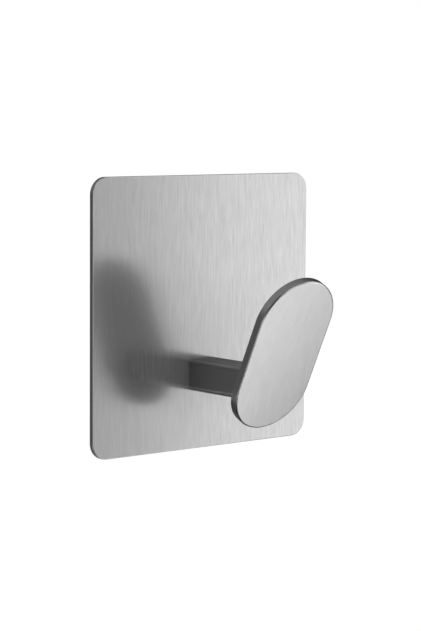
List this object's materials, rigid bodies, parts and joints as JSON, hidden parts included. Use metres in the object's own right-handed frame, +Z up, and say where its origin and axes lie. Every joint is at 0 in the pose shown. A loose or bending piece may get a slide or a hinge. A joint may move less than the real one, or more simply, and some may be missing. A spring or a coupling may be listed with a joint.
{
  "type": "adhesive wall hook",
  "caption": "Square brushed steel wall plate with rounded corners, a short post and a slanted round-ended paddle to hang things on, stuck to a wall by a foam adhesive pad.",
  "frame": {"origin": "centre of the adhesive pad's sticky face, where the hook meets the wall", "axes": "+X to the right seen from the front, +Y into the wall, +Z up; the paddle stands out towards -Y"},
  "size_m": [0.06, 0.0365, 0.06],
  "materials": {
    "acrylic_foam": "matt closed-cell acrylic foam with a tacky skin",
    "plate_steel": "stainless sheet brushed in straight vertical lines",
    "post_steel": "stainless bar, drawn and satin finished along its length",
    "paddle_steel": "stainless blank with a fine satin face and a tumbled edge"
  },
  "bodies": {
    "root": {"adhesive_pad": "acrylic_foam", "back_plate": "plate_steel", "post": "post_steel", "paddle": "paddle_steel"}
  },
  "joints": []
}
